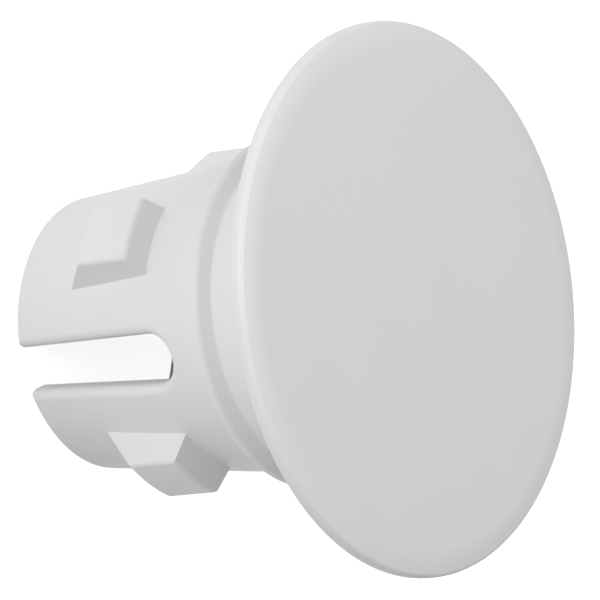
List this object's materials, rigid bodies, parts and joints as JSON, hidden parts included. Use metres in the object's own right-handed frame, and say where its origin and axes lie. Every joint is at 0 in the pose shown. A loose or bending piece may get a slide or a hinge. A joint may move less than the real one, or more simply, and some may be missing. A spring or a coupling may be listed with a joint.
{
  "type": "plastic hole plug",
  "caption": "Push-in cover plug: round flat head, stop collar and hollow split barrel with snap barbs that grip behind the edge of a panel hole.",
  "frame": {"origin": "centre of the bottom of the bounding box: on the plug's axis, in the plane of its leg ends", "axes": "+Z along the plug's axis from the leg ends towards the head; the two slots open towards +X and -X, so the legs flex along Y"},
  "size_m": [0.036, 0.036, 0.0262],
  "materials": {
    "moulded_plastic": "satin as-moulded white nylon or polypropylene"
  },
  "bodies": {
    "root": {"hole_plug": "moulded_plastic"}
  },
  "joints": []
}
